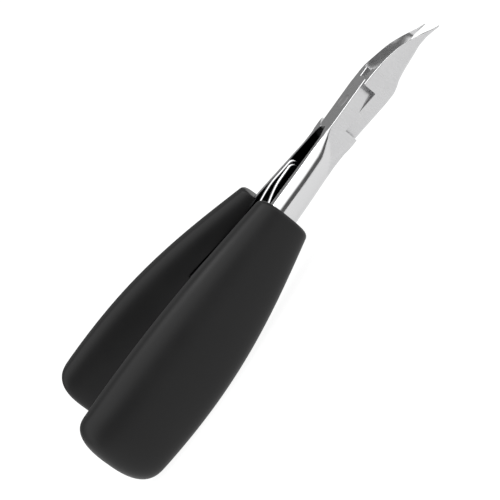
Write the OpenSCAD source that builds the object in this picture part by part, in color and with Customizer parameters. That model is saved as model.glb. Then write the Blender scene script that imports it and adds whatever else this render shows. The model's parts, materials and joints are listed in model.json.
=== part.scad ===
// Long-handled toenail nipper: two forged levers crossing at a half-lap joint,
// two leaf springs that hook together, and two wide soft-grip handles.
//
// Frame: +Y runs along the tool towards the jaws, +X is the opening direction
// towards the front half, +Z is the pivot axis. The tool lies on z = 0.
// Each half is drawn closed about the pivot axis, and the rear half is drawn
// as the front one and turned over. Then both are turned open.

/* [Pose] */
// Angle between the halves as the springs hold them apart, in degrees
opening = 20; // [12:1:22]

/* [Lap joint] */
// Width of the joint across its two outer faces
joint_w = 11; // [10.6:0.1:11.4]
// Thickness of the joint along the pivot axis
joint_t = 9; // [8.8:0.1:9.2]
// Radius of the round shoulders that the laps turn in
shoulder_r = 9.6; // [9.2:0.1:10]
// Running clearance at the round shoulders
shoulder_gap = 0.12; // [0.08:0.01:0.2]
// Distance from the pivot's middle plane to each lap's sliding face
lap_gap = 0.02; // [0.01:0.01:0.05]
// Diameter of the pivot rivet
rivet_d = 4.6; // [4:0.1:5]
// Running clearance of the rivet in the front half, on the radius
rivet_gap = 0.03; // [0.02:0.01:0.05]

/* [Jaws] */
// Distance from the pivot to the point of the jaws
jaw_l = 35; // [34:0.5:38]
// Drop of the point below the pivot's middle plane
tip_drop = 2.4; // [2.2:0.1:3]
// Distance from each cutting edge to the closing plane when shut
edge_gap = 0.05; // [0.03:0.01:0.1]
// Depth of the hollow ground into the root of each blade's inner face
hollow_depth = 1.7; // [1.4:0.1:1.9]

/* [Shanks and tangs] */
// Half width of a shank where it enters its grip
shank_half = 4.7; // [4.6:0.1:4.9]
// Half width of a tang inside its grip
tang_half = 3.6; // [3:0.1:4]
// Distance from the pivot to the end of a tang
tang_l = 113; // [108:1:115]

/* [Leaf springs] */
// Thickness of a leaf
leaf_t = 1.4; // [1:0.1:1.4]
// Half width of a leaf at its free end
leaf_tip_half = 5.6; // [5.2:0.1:5.8]
// Half width of a leaf along its stem
leaf_stem_half = 3; // [2.8:0.1:3.2]
// Distance from the pivot to the free end of the rear leaf
rear_leaf_end = 22.5; // [22:0.5:23]
// Distance from the pivot to the free end of the front leaf
front_leaf_end = 23.7; // [23.7:0.1:24.5]
// Distance from the pivot to the rivet that holds each leaf
leaf_rivet_y = 67.5; // [67:0.5:69]
// Diameter of a leaf's rivet
leaf_rivet_d = 2.5; // [2:0.1:3]
// Width of the tongue that hooks the leaves together
tongue_w = 2; // [1.5:0.1:2.2]

/* [Grips] */
// Distance from the pivot to the top of each grip
grip_top = 39.5; // [39:0.5:42]
// Distance from the pivot to the bottom of each grip
grip_end = 126.2; // [122:0.2:130]
// Half width of a grip at its top
grip_top_half = 8.7; // [8:0.1:10]
// Largest half width of a grip
grip_max_half = 14.2; // [12:0.1:16]
// Thickness of a grip at its top
grip_top_t = 10; // [9.5:0.5:11]
// Largest thickness of a grip
grip_max_t = 13.4; // [13:0.1:15]
// How far a grip's flat side bows away from the other grip
grip_bow = 3.8; // [3.5:0.1:4.1]
// Thickness of the soft sleeve over the hard core
sleeve_t = 2; // [1.5:0.1:2.2]

/* [Hidden] */

STEEL = "#c4c6c8";
BRIGHT = "#e2e4e6";
CORE_PLASTIC = "#3a3b3d";
SOFT_BLACK = "#232426";

half_w = joint_w / 2;
half_t = joint_t / 2;
// Larger than the tool, for cutting through it
big = 200;
// Radius of the seat that the other half's lap turns in
seat_r = shoulder_r + shoulder_gap;
// Where the straight outer faces of the joint meet the round shoulders
shoulder_y = sqrt(shoulder_r * shoulder_r - half_w * half_w);
shoulder_angle = atan2(shoulder_y, half_w);
// Radius of the grinding wheel that hollows the blades
hollow_r = 12;

// When shut, both ends of a grip's flat side are this far from the closing plane
grip_inner_x = 0.8;
grip_len = grip_end - grip_top;
// Share of a grip's length at which it is widest, and how much it then loses
grip_peak = 0.67;
grip_loss = 1.3;
grip_sides = 40;
// Part of the thickness that lies on the flat side of the section's middle
flat_share = 0.42;
// Thickness of the sleeve's top wall, where the shank steps down to its tang
tang_step = 4;

// The tool is placed with its box centred over the origin and its underside at 0
tip_y = jaw_l * cos(opening / 2);
heel_y = grip_end * cos(opening / 2) - grip_middle_x(1) * sin(opening / 2);
place_y = (heel_y - tip_y) / 2;
place_z = grip_max_half;

// Face of a tang that its leaf lies on
seat_x = 4.7;
// Inner and outer face of an arm, from the shoulder to the end of the tang
arm_inner = [[0.4, -shoulder_r], [1.9, -14], [1.9, -38], [2.4, -48], [seat_x, -62],
             [seat_x, -75], [6.8, -86], [5.2, -tang_l]];
arm_outer = [[half_w, -shoulder_y], [5, -13], [5.6, -20], [6.1, -30], [6.3, -48],
             [9.2, -62], [9.2, -75], [10.8, -86], [9.2, -tang_l]];
// Outer face of a jaw, from its root to its point
jaw_outer = [[-half_w, shoulder_y], [-5, 10.5], [-4.4, 14], [-3, 17.8], [-2, 21.7],
             [-1.3, 25.6], [-0.8, 31], [-0.2, jaw_l]];
// Inner face of a jaw: on the closing plane along its blade, set back at its root
jaw_inner = [[-edge_gap, jaw_l], [-edge_gap, 17], [-0.6, 13.5], [-0.6, shoulder_r + 0.3]];
// Side outline of a jaw, which curves down to its point
jaw_top = [[12, half_t], [14, 4.4], [17.8, 3.9], [21.7, 3.15], [23.7, 2.6], [25.7, 1.9],
           [29.5, 0.1], [33.4, -1.8], [jaw_l, -tip_drop + 0.15]];
jaw_bottom = [[jaw_l, -tip_drop - 0.15], [33.4, -2.2], [31.5, -1.8], [29.5, -1.55],
              [27.6, -1.55], [23.7, -2.1], [17.8, -2.85], [15.4, -3.25], [13, -4.1],
              [11, -half_t]];

// Points of an arc about the pivot between two angles
function arc(radius, from, to, steps = 10) =
    [for (i = [0 : steps]) let (a = from + (to - from) * i / steps)
        [radius * cos(a), radius * sin(a)]];

function reversed(list) = [for (i = [len(list) - 1 : -1 : 0]) list[i]];

// A smooth ramp from 0 to 1
function ramp(t) = let (u = min(max(t, 0), 1)) u * u * (3 - 2 * u);

// A point turned about the pivot
function turned(p, a) = [p[0] * cos(a) - p[1] * sin(a), p[0] * sin(a) + p[1] * cos(a)];

// A leaf leaves its tang just above its rivet, and its free end is the rear leaf's
leaf_root_y = -leaf_rivet_y + 2;
leaf_span = -rear_leaf_end - leaf_root_y;

// Middle line of a leaf when the handles are squeezed together. It lies on its
// tang at the rivet, and swings over to the closing plane above it
function leaf_shut_x(y) =
    let (near_x = 0.2 + leaf_t / 2, rise = 0.2 * max(0, y - leaf_root_y) / leaf_span)
    near_x + rise + (seat_x - leaf_t / 2 - near_x) * ramp((y + 46) / (leaf_root_y + 46));

// The middle line let go. The leaf turns away from its own lever by a share of
// the opening that grows from nothing at its rivet to one half at its free end
function leaf_point(y) =
    turned([leaf_shut_x(y), y], opening * ramp((y - leaf_root_y) / leaf_span / 2) * -1);

// Place of the front leaf's free end beside the middle plane, with the tool open
leaf_tip_x = turned(leaf_point(-front_leaf_end), opening / 2)[0];

// A band of even thickness about the leaf's middle line
function leaf_band(end_y, root_y, steps = 26) =
    let (ys = [for (i = [0 : steps]) root_y + (end_y - root_y) * i / steps],
         points = [for (y = ys) leaf_point(y)],
         sides = [for (y = ys) let (d = leaf_point(y + 0.2) - leaf_point(y - 0.2))
                    [d[1], -d[0]] * leaf_t / 2 / norm(d)])
    concat(points + sides, reversed(points - sides));

// How a grip swells from its top (0) to its bottom (1)
function swell(s) = sin(90 * min(s / grip_peak, 1));
function loss(s) = grip_loss * pow(max(0, (s - grip_peak) / (1 - grip_peak)), 2);
function grip_half(s) = grip_top_half + (grip_max_half - grip_top_half) * swell(s) - loss(s);
function grip_thick(s) = grip_top_t + (grip_max_t - grip_top_t) * swell(s) - loss(s);

// Where the flat and the domed side of a grip's section meet
function grip_middle_x(s) =
    grip_inner_x + grip_bow * sin(180 * s) + flat_share * grip_thick(s);

// A number raised to a power, keeping its sign
function power(v, e) = sign(v) * pow(abs(v), e);

// One point of a grip's D-shaped section: flat towards the other half, domed outside
function grip_point(s, shrink, inset, y, a) =
    let (flat_side = cos(a) < 0,
         reach = (flat_side ? flat_share : 1 - flat_share) * grip_thick(s) - inset,
         bend = flat_side ? 0.58 : 0.8)
    [grip_middle_x(s) + reach * shrink * power(cos(a), bend), y,
     (grip_half(s) - inset) * shrink * power(sin(a), bend)];

// Rounding of a grip's ends: 1 along its length and less near an end
function end_shrink(d, depth, e) =
    d >= depth ? 1 : pow(1 - pow(1 - max(d, 0) / depth, e), 1 / e);

// Stations along a grip, closer together where its ends turn over
function stations(length, top_depth, heel_depth) =
    concat([for (t = [0, 0.15, 0.45, 1]) t * top_depth],
           [for (i = [1 : 12]) top_depth + (length - top_depth - heel_depth) * i / 13],
           [for (t = [1, 0.75, 0.5, 0.36, 0.24, 0.15, 0.08, 0.03, 0.004])
               length - t * heel_depth]);

// Closed body of a grip, smaller all round by an inset. Its heel turns over
// sooner on the domed side
module grip_body(inset, top_depth = 1.4, heel_depth = 7, dome_depth = 13.5) {
    length = grip_len - 2 * inset;
    ds = stations(length, top_depth, dome_depth);
    points = [for (d = ds, i = [0 : grip_sides - 1])
        let (a = 360 * i / grip_sides,
             depth = heel_depth + (dome_depth - heel_depth) * max(0, cos(a)),
             edge = 0.84 + 0.16 * end_shrink(d, top_depth, 2),
             shrink = edge * end_shrink(length - d, depth, 2.6))
        grip_point((d + inset) / grip_len, shrink, inset, -grip_top - inset - d, a)];
    walls = [for (r = [0 : len(ds) - 2], i = [0 : grip_sides - 1])
        let (j = (i + 1) % grip_sides, a = r * grip_sides, b = a + grip_sides)
        [a + i, b + i, b + j, a + j]];
    top = [for (i = [0 : grip_sides - 1]) i];
    base = [for (i = reversed(top)) (len(ds) - 1) * grip_sides + i];
    polyhedron(points, concat(walls, [top], [base]), convexity = 4);
}

// Puts the front half, drawn closed about the pivot, into its open place
module front_place() {
    translate([0, place_y, place_z]) rotate([0, 0, opening / 2]) children();
}

// Puts the rear half into its open place
module rear_place() {
    translate([0, place_y, place_z]) rotate([0, 0, -opening / 2]) children();
}

// Extrudes an outline drawn along Y and Z across the whole tool
module across() {
    rotate([90, 0, 90]) translate([0, 0, -big / 2]) linear_extrude(big) children();
}

// Plan of a whole lever, closed: jaw on the left, arm on the right
module lever_plan() {
    polygon(concat(jaw_outer, jaw_inner, arc(shoulder_r, 92, shoulder_angle),
                   arm_outer, reversed(arm_inner),
                   arc(shoulder_r, 268, 180 + shoulder_angle)));
}

// Side outline of a lever: the curved jaw, the joint, the shank and the tang
module lever_side() {
    step_y = -grip_top - tang_step;
    below = [[-big, tang_half], [step_y, tang_half], [step_y, shank_half],
             [-grip_top, shank_half], [-22, half_t], [-12.6, half_t - 0.1], [-12.4, half_t]];
    polygon(concat(below, jaw_top, jaw_bottom, [for (p = reversed(below)) [p[0], -p[1]]]));
}

// Hollow ground into the inner face of the left-hand blade. The wheel leans, so
// the blade's top edge is thin, and the hollow runs out before the point
module blade_hollow() {
    reach = hollow_r - hollow_depth;
    translate([reach * cos(17) - 0.4, 14, reach * sin(17) + 1.2]) rotate([-93.4, 0, -6.5])
        cylinder(r = hollow_r, h = 30, $fn = 96);
}

// Countersunk rivet through a leaf and its tang, drawn closed on the right
module leaf_rivet() {
    head_x = seat_x - leaf_t;
    translate([head_x, -leaf_rivet_y, 0]) rotate([0, 90, 0]) {
        cylinder(d = leaf_rivet_d, h = 9.2 - head_x, $fn = 32);
        cylinder(d1 = leaf_rivet_d + 1.8, d2 = leaf_rivet_d, h = 0.9, $fn = 32);
    }
}

// A lever before its lap, its bores and its blade are cut
module lever_blank() {
    intersection() {
        translate([0, 0, -shank_half]) linear_extrude(2 * shank_half) lever_plan();
        across() lever_side();
    }
}

// A forged lever, drawn closed. side is 1 for the front half, whose arm is on
// the right and whose lap is on top. It is -1 for the rear half
module lever(side, bore_r) {
    difference() {
        mirror([side > 0 ? 0 : 1, 0, 0]) lever_blank();
        translate([0, 0, side > 0 ? lap_gap - big : -lap_gap])
            cylinder(r = seat_r, h = big, $fn = 96);
        translate([0, 0, -big / 2]) cylinder(r = bore_r, h = big, $fn = 48);
        mirror([side > 0 ? 0 : 1, 0, 0]) {
            blade_hollow();
            leaf_rivet();
        }
    }
}

// A leaf spring, drawn at rest in its own lever's closed frame
module leaf(end_y) {
    root_y = -leaf_rivet_y - 4;
    half_side = [[root_y, leaf_stem_half], [-46, leaf_stem_half], [-30, leaf_tip_half],
                 [-end_y - 1.6, leaf_tip_half], [-end_y - 0.5, leaf_tip_half - 0.5],
                 [-end_y, leaf_tip_half - 1.6]];
    difference() {
        intersection() {
            translate([0, 0, -big / 2]) linear_extrude(big) polygon(leaf_band(-end_y, root_y));
            across() polygon(concat(half_side, [for (p = reversed(half_side)) [p[0], -p[1]]]));
        }
        leaf_rivet();
    }
}

// Hooked tongue at the end of the front leaf, drawn in the open tool's frame
module tongue() {
    x = leaf_tip_x;
    y = -front_leaf_end;
    translate([0, 0, -tongue_w / 2]) linear_extrude(tongue_w)
        polygon([[x - leaf_t / 2, y - 0.5], [x + leaf_t / 2, y - 0.5], [x + leaf_t / 2, y + 1],
                 [x, y + 1.8], [-x - leaf_t, y + 1.4], [-x - leaf_t, y + 0.3],
                 [x - leaf_t / 2, y + 0.6]]);
}

module front_lever() {
    color(STEEL) front_place() lever(1, rivet_d / 2 + rivet_gap);
}

module rear_lever() {
    color(STEEL) rear_place() lever(-1, rivet_d / 2);
}

// Headless rivet, flush with both faces of the joint
module pivot_rivet() {
    color(STEEL) translate([0, place_y, place_z - half_t])
        cylinder(d = rivet_d, h = joint_t, $fn = 48);
}

module front_spring() {
    color(BRIGHT) union() {
        front_place() leaf(front_leaf_end);
        translate([0, place_y, place_z]) tongue();
    }
}

// The rear leaf is forked at its free end, and the tongue passes through the fork
module rear_spring() {
    fork_w = tongue_w + 0.8;
    color(BRIGHT) difference() {
        rear_place() mirror([1, 0, 0]) leaf(rear_leaf_end);
        translate([-big / 2, place_y - rear_leaf_end - 2.8, place_z - fork_w / 2])
            cube([big / 2, big, fork_w]);
    }
}

module front_spring_rivet() {
    color(BRIGHT) front_place() leaf_rivet();
}

module rear_spring_rivet() {
    color(BRIGHT) rear_place() mirror([1, 0, 0]) leaf_rivet();
}

// Open channel in the flat side of a grip, down to its tang, where the leaf lies.
// It flares at the grip's end, where the leaf starts to widen.
module leaf_channel() {
    half = leaf_stem_half + 0.4;
    flare = half + 1.5;
    end_y = -leaf_rivet_y - 4.5;
    mouth_y = -grip_top + 1;
    intersection() {
        translate([0, 0, -flare]) linear_extrude(2 * flare)
            polygon([[-big, end_y], [seat_x, end_y], [seat_x, -62], [2.4, -48],
                     [1.9, mouth_y], [-big, mouth_y]]);
        across() polygon([[end_y - 1, half], [-46, half], [mouth_y + 1, flare],
                          [mouth_y + 1, -flare], [-46, -half], [end_y - 1, -half]]);
    }
}

// Hard core moulded round a tang, drawn closed on the right
module grip_core() {
    difference() {
        grip_body(sleeve_t);
        lever_blank();
        leaf_channel();
    }
}

// Soft sleeve over a core, drawn closed on the right
module grip_sleeve() {
    difference() {
        grip_body(0);
        grip_body(sleeve_t);
        lever_blank();
        leaf_channel();
    }
}

module front_grip_core() {
    color(CORE_PLASTIC) front_place() grip_core();
}

module rear_grip_core() {
    color(CORE_PLASTIC) rear_place() mirror([1, 0, 0]) grip_core();
}

module front_grip() {
    color(SOFT_BLACK) front_place() grip_sleeve();
}

module rear_grip() {
    color(SOFT_BLACK) rear_place() mirror([1, 0, 0]) grip_sleeve();
}

front_lever();
rear_lever();
pivot_rivet();
front_spring();
rear_spring();
front_spring_rivet();
rear_spring_rivet();
front_grip_core();
rear_grip_core();
front_grip();
rear_grip();
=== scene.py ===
# %% [markdown]
# # A long-handled toenail nipper
# Two forged steel levers cross at a flush lap joint. Two leaf springs hook together
# between the shanks and hold the tool open, and each handle wears a wide black
# soft-touch sleeve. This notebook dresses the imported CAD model, piece by piece.

# %% Load the frame
import json
import math

import bpy
import numpy as np
from mathutils import Matrix, Vector


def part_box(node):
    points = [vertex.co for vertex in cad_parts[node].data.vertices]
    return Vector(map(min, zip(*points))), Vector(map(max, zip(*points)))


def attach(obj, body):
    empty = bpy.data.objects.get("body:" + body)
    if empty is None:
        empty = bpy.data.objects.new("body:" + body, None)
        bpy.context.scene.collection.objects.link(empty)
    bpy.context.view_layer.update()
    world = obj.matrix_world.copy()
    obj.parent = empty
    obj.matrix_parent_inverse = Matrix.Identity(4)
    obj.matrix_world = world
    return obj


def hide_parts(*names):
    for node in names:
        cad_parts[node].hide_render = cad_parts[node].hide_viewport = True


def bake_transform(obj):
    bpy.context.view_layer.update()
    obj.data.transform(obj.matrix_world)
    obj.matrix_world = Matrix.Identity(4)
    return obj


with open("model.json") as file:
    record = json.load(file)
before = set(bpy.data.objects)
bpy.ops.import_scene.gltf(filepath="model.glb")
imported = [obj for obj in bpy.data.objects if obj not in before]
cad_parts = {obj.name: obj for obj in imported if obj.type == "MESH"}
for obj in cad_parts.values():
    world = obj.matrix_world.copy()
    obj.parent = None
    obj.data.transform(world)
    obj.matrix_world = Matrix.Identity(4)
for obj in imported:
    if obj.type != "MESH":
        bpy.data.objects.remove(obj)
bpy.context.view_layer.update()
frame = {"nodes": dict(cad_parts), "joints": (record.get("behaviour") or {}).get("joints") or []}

# %% [markdown]
# ## Where things are
# Both halves are drawn shut about the pivot, in millimetres, and then turned open by
# half the opening angle each. The rear half is drawn as the mirror image across the
# closing plane. The pivot's place and the opening angle come from the joint in the
# frame, so the pieces land exactly on the CAD levers.

# %% The closed drawing and its place in the open tool
MM = 0.001
joint = frame["joints"][0]
PIVOT = np.array(joint["pos_m"])
OPENING = math.radians(-joint["range_deg"][0])
FRONT, REAR = 1, -1
BODY = {FRONT: "front_half", REAR: "rear_half"}


def placed(points, side):
    """Closed drawing in mm to the open tool in metres. The front half (side 1) turns
    by plus half the opening about the pivot; the rear half is mirrored in x first."""
    x = points[..., 0] * side
    y = points[..., 1]
    turn = side * OPENING / 2
    turned = np.stack([x * np.cos(turn) - y * np.sin(turn),
                       x * np.sin(turn) + y * np.cos(turn), points[..., 2]], axis=-1)
    return turned * MM + PIVOT


def drawn(points, side):
    """The reverse of placed: metres in the open tool back to the closed drawing."""
    local = (points - PIVOT) / MM
    turn = -side * OPENING / 2
    x = local[..., 0] * np.cos(turn) - local[..., 1] * np.sin(turn)
    y = local[..., 0] * np.sin(turn) + local[..., 1] * np.cos(turn)
    return np.stack([x * side, y, local[..., 2]], axis=-1)


print("pivot at", PIVOT, "m, opening", round(math.degrees(OPENING), 1), "degrees")

# %% [markdown]
# ## A surface from a grid
# Every new piece is a closed tube: rings of points, one after the other, with a cap on
# each end. The faces are index arithmetic on whole arrays. The winding is checked by
# the signed volume, so faces always point outwards, also on the mirrored half.

# %% Rings to a closed mesh


def signed_volume(points, quads):
    """Sum of the tetrahedra between the origin and each quad's two triangles."""
    a, b, c, d = (points[quads[:, i]] for i in range(4))
    near = np.einsum("ij,ij->i", a, np.cross(b, c))
    far = np.einsum("ij,ij->i", a, np.cross(c, d))
    return (near + far).sum() / 6


def tube_mesh(name, rings):
    """A closed tube from an array of rings (ring, point, xyz), in metres. Quads join
    each ring to the next, and one flat polygon closes each end."""
    count, around = rings.shape[:2]
    points = rings.reshape(-1, 3)
    ring, step = np.meshgrid(np.arange(count - 1), np.arange(around), indexing="ij")
    after = (step + 1) % around
    quads = np.stack([ring * around + step, ring * around + after,
                      (ring + 1) * around + after, (ring + 1) * around + step], axis=-1).reshape(-1, 4)
    first = np.arange(around)[::-1]
    last = np.arange(around) + (count - 1) * around
    if signed_volume(points - points.mean(0), quads) < 0:
        quads, first, last = quads[:, ::-1], first[::-1], last[::-1]
    mesh = bpy.data.meshes.new(name)
    mesh.from_pydata(points.tolist(), [], quads.tolist() + [first.tolist(), last.tolist()])
    mesh.validate()
    mesh.update()
    piece = bpy.data.objects.new(name, mesh)
    bpy.context.scene.collection.objects.link(piece)
    return piece


def finish_shading(piece, angle=32.0):
    """Smooth shading that breaks only where two faces meet at more than an angle."""
    mesh = piece.data
    mesh.polygons.foreach_set("use_smooth", np.ones(len(mesh.polygons), dtype=bool))
    mesh.set_sharp_from_angle(angle=math.radians(angle))
    mesh.update()


def cut(piece, *cutters):
    """Takes each cutter's volume out of the piece for good, then removes the cutter."""
    for cutter in cutters:
        modifier = piece.modifiers.new("cut", "BOOLEAN")
        modifier.object = cutter
        modifier.solver = "EXACT"
        depsgraph = bpy.context.evaluated_depsgraph_get()
        result = bpy.data.meshes.new_from_object(piece.evaluated_get(depsgraph))
        piece.modifiers.clear()
        old, piece.data = piece.data, result
        piece.data.name = piece.name
        bpy.data.meshes.remove(old)
        bpy.data.objects.remove(cutter)


def report(piece):
    """Prints what was made: faces and size in millimetres."""
    corners = np.array([v[:] for v in piece.bound_box])
    size = (corners.max(0) - corners.min(0)) / MM
    print(f"{piece.name}: {len(piece.data.polygons)} faces, {size.round(1)} mm")


# %% [markdown]
# ## A section with four round corners
# A lever, a leaf and a grip's channel are all bars whose section is a box with rounded
# corners. One function draws that section at every station at once, with its own radii
# for each corner, so one bar can run from sharp flats into a full round.

# %% Rounded box sections and smooth lines


MAX_ROUND_X, MAX_ROUND_Z = 0.86, 0.48


def box_rings(y, left, right, low, high, round_x, round_z, per_side=14, per_corner=9):
    """Rings of rounded rectangles, one at each y. Each corner is a quarter ellipse with
    radii round_x and round_z, given per station and per corner in the order right-top,
    left-top, left-bottom, right-bottom, and held below a share of the width and height.
    Straight sides are divided evenly."""
    y, left, right, low, high = np.broadcast_arrays(y, left, right, low, high)
    round_x = np.broadcast_to(round_x, (len(y), 4))
    round_z = np.broadcast_to(round_z, (len(y), 4))
    width, height = right - left, high - low
    quarter = np.linspace(0, np.pi / 2, per_corner)
    corners = []
    for corner, (cx, sx, cz, sz) in enumerate([(right, 1, high, 1), (left, -1, high, 1),
                                               (left, -1, low, -1), (right, 1, low, -1)]):
        rx = np.minimum(round_x[:, corner], MAX_ROUND_X * width)[:, None]
        rz = np.minimum(round_z[:, corner], MAX_ROUND_Z * height)[:, None]
        a = quarter if corner % 2 == 0 else quarter[::-1]
        x = cx[:, None] - sx * rx * (1 - np.cos(a))
        z = cz[:, None] - sz * rz * (1 - np.sin(a))
        corners.append(np.stack([x, z], axis=-1))
    t = np.linspace(0, 1, per_side + 2)[1:-1][None, :, None]
    parts = []
    for corner in range(4):
        start, end = corners[corner][:, -1:], corners[(corner + 1) % 4][:, :1]
        parts += [corners[corner], start + (end - start) * t]
    section = np.concatenate(parts, axis=1)
    ys = np.broadcast_to(y[:, None], section.shape[:2])
    return np.stack([section[..., 0], ys, section[..., 1]], axis=-1)


def curve(y, knots):
    """A smooth line through a few knots (y, value): each stretch is a cubic whose slope
    at a knot is the mean slope of its two neighbours, limited so it never overshoots."""
    ky, kv = np.array(sorted(knots), dtype=float).T
    slope = np.diff(kv) / np.diff(ky)
    same = slope[1:] * slope[:-1] > 0
    inner = np.where(same, 2 * slope[1:] * slope[:-1] / np.where(same, slope[1:] + slope[:-1], 1), 0)
    m = np.concatenate([slope[:1], inner, slope[-1:]])
    i = np.clip(np.searchsorted(ky, y, side="right") - 1, 0, len(slope) - 1)
    h = ky[i + 1] - ky[i]
    u = np.clip((y - ky[i]) / h, 0, 1)
    return ((1 + 2 * u) * (1 - u) ** 2 * kv[i] + u * (1 - u) ** 2 * h * m[i]
            + u ** 2 * (3 - 2 * u) * kv[i + 1] - u ** 2 * (1 - u) * h * m[i + 1])


def ramp(t):
    """A smooth ramp from 0 to 1: three t squared minus two t cubed."""
    t = np.clip(t, 0, 1)
    return t * t * (3 - 2 * t)


# %% [markdown]
# ## The levers
# Each lever is one forging: a pointed jaw, half of the joint, a shank and a tang. It
# could be boxes joined together, but a forging flows from one part into the next, so
# it is a single bar whose four sides follow smooth curves along the tool. The round
# seat for the other half's lap is then cut out, as a mill cuts it on the real one, and
# the inner face of each blade is hollowed, as on a grinding wheel.

# %% Sizes of the steel, in mm from the pivot
JOINT_HALF_W = 5.5
JOINT_HALF_T = (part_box("pivot_rivet")[1][2] - PIVOT[2]) / MM
SHANK_HALF = (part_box("front_lever")[1][2] - PIVOT[2]) / MM
SHOULDER_R = 9.6
SEAT_R = 9.72
RIVET_R, RIVET_GAP = 2.3, 0.03
CHAMFER = 0.3
HOLLOW_R, HOLLOW_LAND, HOLLOW_ROOT = 12.0, 0.3, 3.0
HOLLOW_START, HOLLOW_SWEEP, HOLLOW_END = 12.9, 5.0, 34.0
LAND_GROWS_FROM, LAND_GROWS_OVER, LAND_GROWTH = 28.0, 4.0, 1.2
# Further out than any part of a lever's section, for the cutters
FAR = 20.0
LAP_GAP = 0.02
JAW_L = 35.0
TIP_Z = -2.4
TANG_END = 113.0
GRIP_TOP = 39.5
SEAT_X = 4.7
SHOULDER_Y = math.sqrt(SHOULDER_R ** 2 - JOINT_HALF_W ** 2)

# %% Stations and the four sides of a lever


def lever_stations():
    """Distances along the tool, closest where the round shoulders turn."""
    turn = SHOULDER_R * np.sin(np.linspace(math.asin(SHOULDER_Y / SHOULDER_R), np.pi / 2, 14))
    jaw = np.linspace(SHOULDER_R + 0.25, JAW_L, 90)
    block = np.linspace(-SHOULDER_Y, SHOULDER_Y, 26)[1:-1]
    arm = -np.linspace(SHOULDER_R + 0.25, GRIP_TOP + 8, 90)
    tang = -np.linspace(GRIP_TOP + 10, TANG_END, 30)
    return np.concatenate([jaw[::-1], turn[::-1], block[::-1], -turn, arm, tang])


def lever_sides(y):
    """Left and right side in plan, and underside and top, at each station. The jaw is
    on the left above the joint and the arm on the right below it. Between them the
    joint is straight, and it ends in the two round shoulders."""
    arc = np.sqrt(np.clip(SHOULDER_R ** 2 - y ** 2, 0, None))
    jaw_out = curve(y, [(SHOULDER_Y, -JOINT_HALF_W), (10.5, -5.0), (14, -4.4), (17.8, -3.0),
                        (21.7, -2.0), (25.6, -1.35), (31, -0.95), (JAW_L, -0.3)])
    jaw_in = curve(y, [(SHOULDER_R, -0.6), (13.5, -0.6), (17, -0.07), (JAW_L, -0.06)])
    arm_in = curve(y, [(-SHOULDER_R, 0.4), (-14, 1.9), (-38, 1.9), (-48, 2.4), (-62, SEAT_X),
                       (-75, SEAT_X), (-86, 6.8), (-TANG_END, 5.2)])
    arm_out = curve(y, [(-SHOULDER_Y, JOINT_HALF_W), (-13, 5.0), (-20, 5.6), (-30, 6.1),
                        (-48, 6.3), (-62, 9.2), (-75, 9.2), (-86, 10.8), (-TANG_END, 9.2)])
    left = np.where(y > SHOULDER_Y, jaw_out,
                    np.where(y > -SHOULDER_R, -np.minimum(JOINT_HALF_W, arc), arm_in))
    right = np.where(y < -SHOULDER_Y, arm_out,
                     np.where(y < SHOULDER_R, np.minimum(JOINT_HALF_W, arc), jaw_in))
    arm = [(-TANG_END, 3.6), (-46, 3.6), (-43.4, SHANK_HALF), (-39.5, SHANK_HALF),
           (-22, JOINT_HALF_T), (-13, JOINT_HALF_T - 0.1), (-12, JOINT_HALF_T)]
    top = curve(y, arm + [(12, JOINT_HALF_T), (14, 4.4), (17.8, 3.9), (21.7, 3.15), (23.7, 2.6),
                          (25.7, 1.9), (29.5, 0.2), (33.4, -1.68), (JAW_L, TIP_Z + 0.18)])
    low = curve(y, [(a, -b) for a, b in arm]
                + [(11, -JOINT_HALF_T), (13, -4.1), (15.4, -3.25), (17.8, -2.85), (23.7, -2.1),
                   (27.6, -1.55), (29.5, -1.55), (31.5, -1.8), (33.4, -2.2), (JAW_L, TIP_Z - 0.14)])
    return left, right, low, top


def lever_corners(y):
    """Radii of the four long edges. They are fine chamfers on the joint and the jaw.
    Down the shank the two outer edges grow into the full round of the polished side."""
    fine = curve(y, [(-12, CHAMFER), (12, CHAMFER), (20, 0.2), (JAW_L, 0.05)])
    grow = curve(y, [(-19, 1.0), (-9.8, 0.0)])
    inner = fine + 0.1 * grow
    round_x = np.stack([fine + 3.3 * grow, inner, inner, fine + 3.0 * grow], axis=-1)
    round_z = np.stack([fine + 4.1 * grow, inner, inner, fine + 4.1 * grow], axis=-1)
    return round_x, round_z


# %% What is cut out of a lever


def half_disc(side):
    """The round seat that the other half's lap turns in, as a thick closed disc."""
    turn = np.linspace(0, 2 * np.pi, 180, endpoint=False)
    levels = np.array([-FAR, LAP_GAP]) if side == FRONT else np.array([-LAP_GAP, FAR])
    rings = np.stack(np.broadcast_arrays(SEAT_R * np.cos(turn), SEAT_R * np.sin(turn),
                                         levels[:, None]), axis=-1)
    return tube_mesh("seat_cutter", placed(rings, side))


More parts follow.
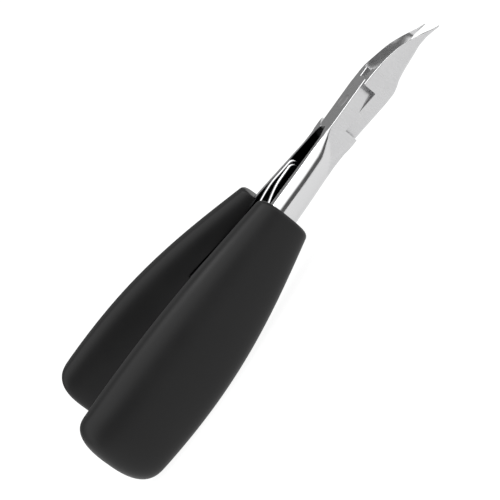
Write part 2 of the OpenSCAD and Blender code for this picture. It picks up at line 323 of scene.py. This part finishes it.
def hollow_cutter(side):
    """What a wheel grinds out of the inner face of a blade. At each station a shallow
    arc joins the blade's top edge, left thin, to its cutting edge below. The land beside
    the top edge widens towards the point, so the point stays whole. The arc is the
    chord minus four times the sag times u(1-u). Near the root it lifts by a quarter
    circle, so the hollow sweeps up to the joint's face."""
    foot = HOLLOW_START + HOLLOW_SWEEP
    y = np.concatenate([np.linspace(HOLLOW_START, foot, 40), np.linspace(foot + 0.4, HOLLOW_END, 50)])
    y = y[:, None]
    left, _, low, top = lever_sides(y)
    land = HOLLOW_LAND + LAND_GROWTH * ramp((y - LAND_GROWS_FROM) / LAND_GROWS_OVER)
    top_edge = np.concatenate([left + land, top], axis=1)
    low_edge = np.concatenate([0 * y - 0.1, low + 0.25], axis=1)
    chord = low_edge - top_edge
    length = np.linalg.norm(chord, axis=1, keepdims=True)
    out = np.stack([-chord[:, 1], chord[:, 0]], axis=1) / length
    lift = HOLLOW_ROOT * (1 - np.sqrt(np.clip(1 - ((foot - y) / HOLLOW_SWEEP).clip(0) ** 2, 0, 1)))
    u = np.linspace(-0.3, 1.3, 41)[None, :, None]
    sag = length ** 2 / (8 * HOLLOW_R)
    bow = lift[:, :, None] - 4 * sag[:, :, None] * u * (1 - u)
    arc = top_edge[:, None] + chord[:, None] * u + out[:, None] * bow
    far = arc[:, [-1, 0]] + out[:, None] * 15
    section = np.concatenate([arc, far], axis=1)
    ys = np.broadcast_to(y, section.shape[:2])
    rings = np.stack([section[..., 0], ys, section[..., 1]], axis=-1)
    return tube_mesh("hollow_cutter", placed(rings, side))


def bore_cutter(side):
    """The bore for the pivot rivet, a hair wider than the rivet."""
    turn = np.linspace(0, 2 * np.pi, 96, endpoint=False)
    bore = RIVET_R + RIVET_GAP
    rings = np.stack(np.broadcast_arrays(bore * np.cos(turn), bore * np.sin(turn),
                                         np.array([-FAR, FAR])[:, None]), axis=-1)
    return tube_mesh("bore_cutter", placed(rings, side))


# %% Make both levers


def make_lever(side, name):
    """One lever: rings from the stations, then the seat, the bore and the hollow."""
    y = lever_stations()
    left, right, low, top = lever_sides(y)
    piece = tube_mesh(name, placed(box_rings(y, left, right, low, top, *lever_corners(y)), side))
    cut(piece, half_disc(side), bore_cutter(side), hollow_cutter(side))
    finish_shading(piece)
    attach(piece, BODY[side])
    report(piece)
    return piece


front_lever = make_lever(FRONT, "front_forging")
rear_lever = make_lever(REAR, "rear_forging")
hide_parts("front_lever")
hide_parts("rear_lever")

# %% [markdown]
# ## The leaf springs
# A leaf is a strip bent away from its handle. Shut, it lies flat along the tang. Let
# go, every point turns about the pivot by a share of the opening that grows from
# nothing at its rivet to one half at its free end, where it hooks into its partner.

# %% Sizes of the springs, in mm
LEAF_T = 1.4
LEAF_ROOT_Y = -65.5
LEAF_HEEL_Y = -71.5
LEAF_END = {FRONT: -23.7, REAR: -22.5}
LEAF_HALF_TIP, LEAF_HALF_STEM = 5.6, 3.0
LEAF_EDGE = 0.6
TONGUE_W = 2.0


def leaf_line(y):
    """Middle line of a leaf at rest. Shut, it lies on its tang at the rivet and swings
    over to the closing plane above it. That line is turned back about the pivot."""
    span = LEAF_END[REAR] - LEAF_ROOT_Y
    near = 0.2 + LEAF_T / 2
    shut_x = near + 0.2 * np.clip(y - LEAF_ROOT_Y, 0, None) / span \
        + (SEAT_X - LEAF_T / 2 - near) * ramp((y + 46) / (LEAF_ROOT_Y + 46))
    turn = -OPENING * ramp((y - LEAF_ROOT_Y) / (2 * span))
    return np.stack([shut_x * np.cos(turn) - y * np.sin(turn),
                     shut_x * np.sin(turn) + y * np.cos(turn)], axis=-1)


def leaf_rings(y, half):
    """Rounded strips about the leaf's middle line, square to its direction."""
    line = leaf_line(y)
    ahead = leaf_line(y + 0.05) - leaf_line(y - 0.05)
    ahead /= np.linalg.norm(ahead, axis=1, keepdims=True)
    side = np.stack([ahead[:, 1], -ahead[:, 0]], axis=-1)
    flat = box_rings(np.zeros_like(y), -LEAF_T / 2, LEAF_T / 2, -half, half, LEAF_EDGE, LEAF_EDGE,
                     per_side=10, per_corner=9)
    place = line[:, None, :] + side[:, None, :] * flat[..., :1]
    return np.concatenate([place, flat[..., 2:]], axis=-1)


def leaf_half_width(y, side):
    """Half of a leaf's width: narrow in its channel, wide at its free end, whose two
    corners are round."""
    end = LEAF_END[side]
    half = curve(y, [(LEAF_HEEL_Y, LEAF_HALF_STEM), (-46, LEAF_HALF_STEM), (-30, LEAF_HALF_TIP),
                     (end, LEAF_HALF_TIP)])
    turned_over = np.clip((y - (end - 1.6)) / 1.6, 0, 1)
    return half - 1.6 * (1 - np.sqrt(1 - turned_over ** 2))


def make_leaf(side, name):
    """A leaf from its heel to its free end, with stations closer at the round corners."""
    end = LEAF_END[side]
    y = np.concatenate([np.linspace(LEAF_HEEL_Y, end - 1.6, 120),
                        end - 1.6 * (1 - np.sin(np.linspace(0, np.pi / 2, 12)))[1:]])
    return tube_mesh(name, placed(leaf_rings(y, leaf_half_width(y, side)), side))


def tongue_rings():
    """The front leaf's narrow tongue in the open tool, carried along a bent path: up
    from the leaf's end, then over through the fork of the rear leaf."""
    tip = placed(np.append(leaf_line(np.array([LEAF_END[FRONT]]))[0], 0.0), FRONT)
    start = (tip - PIVOT) / MM
    t = np.linspace(0, 1, 24)
    corner = ramp(t)
    x = start[0] - (start[0] * 2 + 0.55) * np.clip((t - 0.25) / 0.75, 0, 1) ** 1.2
    y = start[1] - 0.6 + 1.75 * np.sin(np.clip(t / 0.45, 0, 1) * np.pi / 2) - 0.35 * corner
    path = np.stack([x, y], axis=-1)
    ahead = np.gradient(path, axis=0)
    ahead /= np.linalg.norm(ahead, axis=1, keepdims=True)
    side = np.stack([ahead[:, 1], -ahead[:, 0]], axis=-1)
    flat = box_rings(np.zeros(len(t)), -0.5, 0.5, -TONGUE_W / 2, TONGUE_W / 2, 0.2, 0.2,
                     per_side=4, per_corner=4)
    place = path[:, None, :] + side[:, None, :] * flat[..., :1]
    return np.concatenate([place, flat[..., 2:]], axis=-1) * MM + PIVOT


def join(piece, other):
    """Unites another closed solid with the piece, and removes the other."""
    modifier = piece.modifiers.new("join", "BOOLEAN")
    modifier.operation = "UNION"
    modifier.object = other
    modifier.solver = "EXACT"
    result = bpy.data.meshes.new_from_object(piece.evaluated_get(bpy.context.evaluated_depsgraph_get()))
    piece.modifiers.clear()
    old, piece.data = piece.data, result
    piece.data.name = piece.name
    bpy.data.meshes.remove(old)
    bpy.data.objects.remove(other)


def bend(piece):
    """Bakes the leaf's placement into its mesh. The leaf is built in its open shape,
    with half of the turn reached at its free end."""
    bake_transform(piece)


def fork_cutter():
    """The slot in the rear leaf's free end, open upwards, that the tongue runs in."""
    half, low_y, high_y = TONGUE_W / 2 + 0.4, LEAF_END[REAR] - 2.8, LEAF_END[REAR] + 2.5
    section = np.array([(-6, -half), (0.5, -half), (0.5, half), (-6, half)])
    rings = np.array([np.insert(section, 1, y, axis=1) for y in (low_y, high_y)])
    return tube_mesh("fork_cutter", rings * MM + PIVOT)


front_leaf = make_leaf(FRONT, "front_leaf")
join(front_leaf, tube_mesh("tongue", tongue_rings()))
rear_leaf = make_leaf(REAR, "rear_leaf")
cut(rear_leaf, fork_cutter())
for leaf, side, node in ((front_leaf, FRONT, "front_spring"), (rear_leaf, REAR, "rear_spring")):
    finish_shading(leaf)
    bend(leaf)
    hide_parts(node)
    report(leaf)

# %% [markdown]
# ## The rivets
# The pivot rivet has no head. It is ground flush with both faces, so all that shows
# is a fine ring. A lathe profile turned about the pivot axis gives it, with a shallow
# dish so that the ring catches the light. The leaf rivets are their CAD solids.

# %% Pivot rivet


def lathe(name, radius, height, around=96):
    """Turns a profile of radii and heights (mm) about the pivot axis."""
    turn = np.linspace(0, 2 * np.pi, around, endpoint=False)
    rings = np.stack(np.broadcast_arrays(radius[:, None] * np.cos(turn), radius[:, None] * np.sin(turn),
                                         height[:, None]), axis=-1)
    return tube_mesh(name, rings * MM + PIVOT)


half = JOINT_HALF_T
edge = np.array([0.0, 0.06, 0.12])
radius = np.concatenate([[0.05, 1.1, 2.0], RIVET_R - edge[::-1], RIVET_R - edge, [2.0, 1.1, 0.05]])
height = np.concatenate([[-half + 0.06, -half + 0.04, -half + 0.02], -half + edge,
                         half - edge[::-1], [half - 0.02, half - 0.04, half - 0.06]])
pivot_pin = lathe("pivot_pin", radius, height)
finish_shading(pivot_pin)
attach(pivot_pin, BODY[REAR])
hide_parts("pivot_rivet")
report(pivot_pin)

# %% [markdown]
# ## The grips
# A sleeve swells from a narrow top to a broad heel. Its section is a soft D: flatter
# towards the other handle and domed outside, from a power of sine and cosine. The heel
# turns over sooner on the domed side. The same formula draws the CAD solid, here with
# many more points, so the rubber lies exactly where the frame has it.

# %% Sizes of a grip, in mm
GRIP_END = 126.2
GRIP_TOP_HALF, GRIP_MAX_HALF = 8.7, 14.2
GRIP_TOP_T, GRIP_MAX_T = 10.0, 13.4
GRIP_INNER_X, GRIP_BOW = 0.8, 3.8
GRIP_PEAK, GRIP_LOSS = 0.67, 1.3
FLAT_SHARE, FLAT_POWER, DOME_POWER = 0.42, 0.58, 0.8
TOP_DEPTH, HEEL_DEPTH, DOME_DEPTH = 1.4, 7.0, 13.5
CHANNEL_PLAY, CHANNEL_FLARE = 0.4, 1.5
MOUTH_X, MOUTH_PLAY = (1.85, 6.33), 0.05
MOUTH_ROUND_X = np.array([[3.5, 0.35, 0.35, 3.2]])
MOUTH_ROUND_Z = np.array([[4.3, 0.35, 0.35, 4.3]])


def power(v, e):
    """A number raised to a power, keeping its sign."""
    return np.sign(v) * np.abs(v) ** e


def turn_over(d, depth, e):
    """How much of a section is left at a distance d from an end: a superellipse."""
    return np.clip(1 - (1 - np.clip(d / depth, 0, 1)) ** e, 0, None) ** (1 / e)


def grip_rings(around=144):
    """Rings of the D section down the grip, with the sizes given above."""
    length = GRIP_END - GRIP_TOP
    top = TOP_DEPTH * (1 - np.cos(np.linspace(0, np.pi / 2, 10)))
    heel = length - DOME_DEPTH * (1 - np.sin(np.linspace(0, np.pi / 2, 46)[:-1])) ** 1.6
    d = np.concatenate([top, np.linspace(TOP_DEPTH, length - DOME_DEPTH, 90)[1:-1], heel])
    s = (d / length)[:, None]
    swell = np.sin(np.pi / 2 * np.minimum(s / GRIP_PEAK, 1))
    loss = GRIP_LOSS * np.clip((s - GRIP_PEAK) / (1 - GRIP_PEAK), 0, None) ** 2
    half = GRIP_TOP_HALF + (GRIP_MAX_HALF - GRIP_TOP_HALF) * swell - loss
    thick = GRIP_TOP_T + (GRIP_MAX_T - GRIP_TOP_T) * swell - loss
    inner = GRIP_INNER_X + GRIP_BOW * np.sin(np.pi * s)
    a = np.linspace(0, 2 * np.pi, around, endpoint=False)[None, :]
    flat = np.cos(a) < 0
    depth = HEEL_DEPTH + (DOME_DEPTH - HEEL_DEPTH) * np.clip(np.cos(a), 0, None)
    shrink = (0.84 + 0.16 * turn_over(d, TOP_DEPTH, 2)[:, None]) \
        * turn_over((length - d)[:, None], depth, 2.6)
    reach = np.where(flat, FLAT_SHARE, 1 - FLAT_SHARE) * thick
    bend_power = np.where(flat, FLAT_POWER, DOME_POWER)
    x = inner + FLAT_SHARE * thick + reach * shrink * power(np.cos(a), bend_power)
    z = half * shrink * power(np.sin(a), bend_power)
    return np.stack(np.broadcast_arrays(x, -(GRIP_TOP + d)[:, None], z), axis=-1)


def make_grip(side, name, node):
    """The sleeve with its leaf channel and the mouth that the shank comes out of."""
    piece = tube_mesh(name, placed(grip_rings(), side))
    y = np.linspace(-72.0, -36.0, 60)
    floor = np.interp(y, [-62, -48, -39], [SEAT_X, 2.4, 1.9])
    half = LEAF_HALF_STEM + np.interp(y, [-46, -38.5], [CHANNEL_PLAY, CHANNEL_PLAY + CHANNEL_FLARE])
    channel = box_rings(y, -6.0, floor, -half, half, 0.3, 0.3, per_side=6, per_corner=6)
    y = np.array([-44.0, -36.0])
    mouth = box_rings(y, *MOUTH_X, -SHANK_HALF - MOUTH_PLAY, SHANK_HALF + MOUTH_PLAY,
                      MOUTH_ROUND_X, MOUTH_ROUND_Z, per_side=6, per_corner=10)
    cut(piece, tube_mesh("channel_cutter", placed(channel, side)),
        tube_mesh("mouth_cutter", placed(mouth, side)))
    finish_shading(piece, angle=40)
    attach(piece, BODY[side])
    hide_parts(node)
    report(piece)
    return piece


front_sleeve = make_grip(FRONT, "front_sleeve", "front_grip")
rear_sleeve = make_grip(REAR, "rear_sleeve", "rear_grip")

# %% [markdown]
# ## Finishes
# Effects that several finishes share are node groups with named inputs. A group puts
# out masks, values and normals only, and each Principled shader stays in its material.

# %% Node helpers


def new_group(name, inputs, outputs):
    """An empty shader group with float or vector sockets, and its two end nodes."""
    group = bpy.data.node_groups.new(name, "ShaderNodeTree")
    for label, kind, default in inputs:
        socket = group.interface.new_socket(label, in_out="INPUT", socket_type=kind)
        if default is not None:
            socket.default_value = default
    for label, kind in outputs:
        group.interface.new_socket(label, in_out="OUTPUT", socket_type=kind)
    return group, group.nodes.new("NodeGroupInput"), group.nodes.new("NodeGroupOutput")


def add(tree, kind, values=None, **settings):
    """A node with its settings, and constants or links given by socket name."""
    made = tree.nodes.new(kind)
    for key, value in settings.items():
        setattr(made, key, value)
    for key, value in (values or {}).items():
        socket = made.inputs[key]
        if isinstance(value, bpy.types.NodeSocket):
            tree.links.new(value, socket)
        else:
            socket.default_value = value
    return made


def fine_grain_group():
    """Grain: stretched noise as height and value. Stretch lengthens it along Y."""
    inputs = [("Scale", "NodeSocketFloat", 1000.0), ("Stretch", "NodeSocketVector", (1, 1, 1)),
              ("Height", "NodeSocketFloat", 0.00001), ("Strength", "NodeSocketFloat", 0.2)]
    outputs = [("Value", "NodeSocketFloat"), ("Normal", "NodeSocketVector")]
    group, start, end = new_group("fine_grain", inputs, outputs)
    place = add(group, "ShaderNodeTexCoord")
    stretch = add(group, "ShaderNodeVectorMath", operation="MULTIPLY",
                  values={0: place.outputs["Object"], 1: start.outputs["Stretch"]})
    noise = add(group, "ShaderNodeTexNoise",
                {"Vector": stretch.outputs[0], "Scale": start.outputs["Scale"],
                 "Detail": 3.0, "Roughness": 0.6})
    bump = add(group, "ShaderNodeBump",
               {"Height": noise.outputs[0], "Distance": start.outputs["Height"],
                "Strength": start.outputs["Strength"]})
    group.links.new(noise.outputs[0], end.inputs["Value"])
    group.links.new(bump.outputs[0], end.inputs["Normal"])
    return group


def soft_wear_group():
    """Wear: large soft noise mapped between two values, for marks and handling."""
    inputs = [("Scale", "NodeSocketFloat", 60.0), ("Low", "NodeSocketFloat", 0.0),
              ("High", "NodeSocketFloat", 1.0)]
    group, start, end = new_group("soft_wear", inputs, [("Value", "NodeSocketFloat")])
    place = add(group, "ShaderNodeTexCoord")
    noise = add(group, "ShaderNodeTexNoise",
                {"Vector": place.outputs["Object"], "Scale": start.outputs["Scale"],
                 "Detail": 4.0, "Roughness": 0.55})
    spread = add(group, "ShaderNodeMapRange",
                 {"Value": noise.outputs[0], "From Min": 0.3, "From Max": 0.7,
                  "To Min": start.outputs["Low"], "To Max": start.outputs["High"]})
    group.links.new(spread.outputs[0], end.inputs["Value"])
    return group


FINE_GRAIN = fine_grain_group()
SOFT_WEAR = soft_wear_group()
print("node groups:", [g.name for g in bpy.data.node_groups])

# %% [markdown]
# ## Which steel is satin, which is polished, and where shade is painted
# The flats are ground satin, and the sides of the shanks are buffed to a mirror. On the
# outer face the satin runs down past the joint and ends in a slanted curve. The sharp
# edges of the flats catch the buff too. The inner faces of the shanks, which face the other
# half, and the wide faces of the leaves, which lie between the black handles, get painted
# shade: a near-black colour in place of the shade and dark reflections there. Every vertex gets both as
# a number from 0 to 1.

# %% Polish and painted shade as vertex attributes
SATIN_END_Y, SATIN_SLANT, SATIN_BEND = -11.6, 11.0, 1.6


def smooth(value, low, high):
    """0 below low, 1 above high, and three t squared minus two t cubed between."""
    return ramp((value - low) / (high - low))


def drawn_vertices(piece, side):
    """The x, y and z of every vertex in the closed drawing, in mm."""
    places = np.empty(len(piece.data.vertices) * 3)
    piece.data.vertices.foreach_get("co", places)
    return drawn(places.reshape(-1, 3), side).T


def paint(piece, name, value):
    """Stores one number per vertex and prints its mean."""
    attribute = piece.data.attributes.new(name, "FLOAT", "POINT")
    attribute.data.foreach_set("value", value.astype(np.float32))
    print(piece.name, name, round(float(value.mean()), 2))


def paint_lever(piece, side):
    """Polished below a slanted curve that starts at the top edge just under the joint
    and runs down to the low edge, and on the fine chamfers. Painted shade on the inner
    face of the arm, which is its left side in the drawing and faces the other half."""
    x, y, z = drawn_vertices(piece, side)
    across = np.clip((JOINT_HALF_T - z) / (2 * JOINT_HALF_T), 0, 1)
    buffed = smooth(SATIN_END_Y - SATIN_SLANT * across ** SATIN_BEND - y, 0.0, 1.2)
    left, right, low, top = lever_sides(y)
    aside = np.minimum(np.abs(x - left), np.abs(x - right))
    updown = np.minimum(np.abs(z - low), np.abs(z - top))
    chamfer = smooth(CHAMFER - np.maximum(aside, updown), 0.0, 0.12) * smooth(-np.abs(y), -34, -31)
    paint(piece, "polish", np.maximum(buffed, chamfer))
    # Painted shade: darkens the arm's inner face, which faces the other half.
    paint(piece, "painted_shade", smooth(-y, SHOULDER_R, SHOULDER_R + 0.6) * smooth(left + 0.35 - x, 0.0, 0.3))


def paint_leaf(piece, side):
    """Painted shade on the wide faces and all over inside the grip, bright on the ground edges."""
    _, y, z = drawn_vertices(piece, side)
    face = smooth(leaf_half_width(y, side) - np.abs(z), 0.2, LEAF_EDGE)
    # Painted shade: darkens the wide faces between the halves and the leaf inside the grip.
    paint(piece, "painted_shade", np.maximum(face, smooth(-y, GRIP_TOP + 2.5, GRIP_TOP + 5.5)))


paint_lever(front_lever, FRONT)
paint_lever(rear_lever, REAR)
paint_leaf(front_leaf, FRONT)
paint_leaf(rear_leaf, REAR)

# %% [markdown]
# ## The finishes themselves
# Steel is a metal whose roughness decides between satin and mirror. It could be one
# colour with one roughness, but then grinding, buffing and the painted shade would look alike.
# The fine detail comes from the two groups, and the attributes choose the finish and where shade is
# painted.

# %% Steel


def principled(name, **constants):
    """A material with one Principled shader, its constants set on its own sockets."""
    material = bpy.data.materials.new(name)
    material.use_nodes = True
    shader = material.node_tree.nodes["Principled BSDF"]
    for key, value in constants.items():
        shader.inputs[key.replace("_", " ")].default_value = value
    return material, material.node_tree, shader


def use_group(tree, group, **values):
    """Places a group in a material with its own values."""
    node = tree.nodes.new("ShaderNodeGroup")
    node.node_tree = group
    for key, value in values.items():
        node.inputs[key].default_value = value
    return node


WEAR_SHARE = 0.16
LINE_SHADE = 0.93
# Near black for the painted shade on the faces between the parts.
PAINTED_SHADE_COLOUR = (0.03, 0.03, 0.032)


def steel_finish(name, colour, satin, polished, grain=0.35, bright=(0.8, 0.8, 0.805)):
    """Ground steel. Grinding lines run across the tool, and soft wear clouds change
    the roughness. The polish attribute fades the lines out and the roughness down, and
    the shade attribute darkens the metal with painted shade. Either may be missing, and then reads as
    0."""
    material, tree, shader = principled(name, Metallic=1.0)
    lines = use_group(tree, FINE_GRAIN, Scale=260.0, Stretch=(1.0, 14.0, 2.0), Height=0.000012)
    wear = use_group(tree, SOFT_WEAR, Scale=150.0, Low=-1.0, High=1.0)
    polish = add(tree, "ShaderNodeAttribute", attribute_name="polish").outputs["Fac"]
    painted_shade = add(tree, "ShaderNodeAttribute", attribute_name="painted_shade").outputs["Fac"]
    level = add(tree, "ShaderNodeMapRange", {"Value": polish, "To Min": satin, "To Max": polished})
    rough = add(tree, "ShaderNodeMath", operation="MULTIPLY_ADD",
                values={0: wear.outputs["Value"], 1: satin * WEAR_SHARE, 2: level.outputs[0]})
    fade = add(tree, "ShaderNodeMapRange", {"Value": polish, "To Min": grain, "To Max": 0.02})
    tree.links.new(fade.outputs[0], lines.inputs["Strength"])
    tint = add(tree, "ShaderNodeMix", data_type="RGBA")
    share = add(tree, "ShaderNodeMapRange",
                {"Value": lines.outputs["Value"], "From Min": 0.3, "From Max": 0.7})
    tree.links.new(share.outputs[0], tint.inputs[0])
    tint.inputs[6].default_value = (*(c * LINE_SHADE for c in colour), 1)
    tint.inputs[7].default_value = (*colour, 1)
    shine = add(tree, "ShaderNodeMix", data_type="RGBA")
    tree.links.new(polish, shine.inputs[0])
    tree.links.new(tint.outputs[2], shine.inputs[6])
    shine.inputs[7].default_value = (*bright, 1)
    # Painted shade: the shade attribute mixes the metal towards near black.
    dark = add(tree, "ShaderNodeMix", data_type="RGBA")
    tree.links.new(painted_shade, dark.inputs[0])
    tree.links.new(shine.outputs[2], dark.inputs[6])
    dark.inputs[7].default_value = (*PAINTED_SHADE_COLOUR, 1)
    tree.links.new(dark.outputs[2], shader.inputs["Base Color"])
    tree.links.new(rough.outputs[0], shader.inputs["Roughness"])
    tree.links.new(lines.outputs["Normal"], shader.inputs["Normal"])
    return material


FORGED = steel_finish("ground_and_buffed_steel", (0.58, 0.58, 0.585), 0.27, 0.12,
                      bright=(0.61, 0.61, 0.615))
SPRING = steel_finish("spring_steel", (0.78, 0.78, 0.785), 0.12, 0.12, grain=0.08)
RIVET = steel_finish("ground_rivet_steel", (0.56, 0.56, 0.565), 0.28, 0.28, grain=0.3)


# %% [markdown]
# ## Rubber and hard plastic
# The sleeves are soft-touch rubber: nearly black, with a fine stipple, a broad soft
# highlight and faint marks from handling. The cores under them are moulded plastic,
# which shows only in the channels behind the springs.

# %% Rubber and plastic


def moulded_finish(name, dark, light, rough, stipple, height, **constants):
    """A moulded surface: colour and roughness drift slowly, and fine noise stipples it."""
    material, tree, shader = principled(name, **constants)
    grain = use_group(tree, FINE_GRAIN, Scale=stipple, Height=height, Strength=0.5)
    wear = use_group(tree, SOFT_WEAR, Scale=45.0)
    tint = add(tree, "ShaderNodeMix", data_type="RGBA")
    tree.links.new(wear.outputs["Value"], tint.inputs[0])
    tint.inputs[6].default_value = (*dark, 1)
    tint.inputs[7].default_value = (*light, 1)
    level = add(tree, "ShaderNodeMapRange", {"Value": wear.outputs["Value"], "To Min": rough - 0.04,
                                             "To Max": rough + 0.04})
    fine = add(tree, "ShaderNodeMath", {0: grain.outputs["Value"], 1: 0.06, 2: level.outputs[0]},
               operation="MULTIPLY_ADD")
    tree.links.new(tint.outputs[2], shader.inputs["Base Color"])
    tree.links.new(fine.outputs[0], shader.inputs["Roughness"])
    tree.links.new(grain.outputs["Normal"], shader.inputs["Normal"])
    return material


RUBBER = moulded_finish("soft_touch_rubber", (0.005, 0.005, 0.0052), (0.007, 0.007, 0.0072),
                        0.43, 2600.0, 0.00002, Specular_IOR_Level=0.26)
CORE = moulded_finish("moulded_core", (0.03, 0.03, 0.031), (0.036, 0.036, 0.037),
                      0.42, 1500.0, 0.00002)


def dress(piece, material):
    """One material over the whole piece."""
    piece.data.materials.clear()
    piece.data.materials.append(material)


DRESSING = [(front_lever, FORGED), (rear_lever, FORGED), (front_leaf, SPRING), (rear_leaf, SPRING),
            (pivot_pin, RIVET), (front_sleeve, RUBBER), (rear_sleeve, RUBBER)]
for piece, material in DRESSING:
    dress(piece, material)
for node, material in (("front_spring_rivet", RIVET), ("rear_spring_rivet", RIVET),
                       ("front_grip_core", CORE), ("rear_grip_core", CORE)):
    frame["nodes"][node].material_slots[0].material = material
    print(node, "wears", material.name)

# %% [markdown]
# ## Floor, light and camera
# Polished steel shows what stands round it, so the studio matters as much as the
# finish. A white floor gives off its own light. The room is a set of soft bands that
# run along the tool: a dark front, one broad white light overhead, and grey behind.
# The bands draw the long highlights down the shanks. They could be drawn as panels
# round the tool, but a ramp of the angle does the same with two numbers for each band.

# %% Floor


def make_floor(half=6.0):
    """A large square floor that the tool lies on."""
    corners = np.array([(-half, -half, 0), (half, -half, 0), (half, half, 0), (-half, half, 0)])
    mesh = bpy.data.meshes.new("floor")
    mesh.from_pydata(corners.tolist(), [], [(0, 1, 2, 3)])
    plane = bpy.data.objects.new("floor", mesh)
    bpy.context.scene.collection.objects.link(plane)
    material, tree, shader = principled("white_floor", Roughness=0.9)
    shader.inputs["Base Color"].default_value = (0.12, 0.12, 0.12, 1)
    shader.inputs["Emission Color"].default_value = (1, 1, 1, 1)
    shader.inputs["Emission Strength"].default_value = 0.93
    mesh.materials.append(material)
    return plane


floor = make_floor()

# %% Room and lights


def make_room(bands):
    """World light that depends only on the angle about the tool's long axis, from 0 in
    front through 90 overhead to 180 behind. Each band is an angle and a brightness."""
    world = bpy.data.worlds.new("room")
    world.use_nodes = True
    bpy.context.scene.world = world
    tree = world.node_tree
    place = add(tree, "ShaderNodeTexCoord")
    axes = add(tree, "ShaderNodeSeparateXYZ", {0: place.outputs["Generated"]})
    angle = add(tree, "ShaderNodeMath", operation="ARCTAN2",
                values={0: axes.outputs["Z"], 1: axes.outputs["X"]})
    share = add(tree, "ShaderNodeMath", {0: angle.outputs[0], 1: math.pi}, operation="DIVIDE")
    ramp_node = add(tree, "ShaderNodeValToRGB", {"Fac": share.outputs[0]})
    stops = ramp_node.color_ramp.elements
    while len(stops) < len(bands):
        stops.new(0.5)
    brightest = max(level for _, level in bands)
    for stop, (degrees, level) in zip(stops, bands):
        stop.position = degrees / 180
        stop.color = (level / brightest, level / brightest, level / brightest, 1)
    tree.links.new(ramp_node.outputs[0], tree.nodes["Background"].inputs["Color"])
    tree.nodes["Background"].inputs["Strength"].default_value = brightest


def soft_light(name, place, target, size, watts):
    """A large square area light at a place, turned to look at a target."""
    lamp = bpy.data.lights.new(name, "AREA")
    lamp.size = size
    lamp.energy = watts
    piece = bpy.data.objects.new(name, lamp)
    piece.location = place
    towards = Vector(target) - Vector(place)
    piece.rotation_euler = towards.to_track_quat("-Z", "Y").to_euler()
    bpy.context.scene.collection.objects.link(piece)


make_room([(0, 0.13), (23, 0.13), (36, 1.75), (106, 1.75), (120, 0.3), (180, 0.3)])
middle = PIVOT + np.array([0, -50, 0]) * MM
soft_light("light_above", middle + np.array([-0.15, 0.25, 0.75]), middle, 0.35, 1.0)

# %% Camera
ELEVATION, SWING, ROLL = math.radians(16.68), math.radians(0.635), math.radians(38.60)
DISTANCE = 0.439
AIM = PIVOT + np.array([0, -50.98, 0]) * MM
ASIDE = np.array([-0.739, 1.758]) * MM


def make_camera():
    """A camera from its elevation, swing and roll. The view direction comes from the
    first two. The picture's right and up are then turned about it by the roll."""
    back = np.array([math.cos(ELEVATION) * math.cos(SWING), math.sin(SWING),
                     math.sin(ELEVATION) * math.cos(SWING)])
    back /= np.linalg.norm(back)
    along = np.array([0.0, 1.0, 0.0]) - back * back[1]
    along /= np.linalg.norm(along)
    aside = np.cross(along, back)
    right = math.sin(ROLL) * along + math.cos(ROLL) * aside
    up = math.cos(ROLL) * along - math.sin(ROLL) * aside
    place = AIM + back * DISTANCE + along * ASIDE[0] + aside * ASIDE[1]
    lens = bpy.data.cameras.new("camera")
    lens.lens = 106.2
    lens.sensor_width = 36.0
    camera = bpy.data.objects.new("camera", lens)
    turn = np.eye(4)
    turn[:3, :3] = np.stack([right, up, back], axis=1)
    turn[:3, 3] = place
    camera.matrix_world = Matrix(turn.tolist())
    bpy.context.scene.collection.objects.link(camera)
    bpy.context.scene.camera = camera


make_camera()
bpy.context.scene.view_settings.view_transform = "Standard"
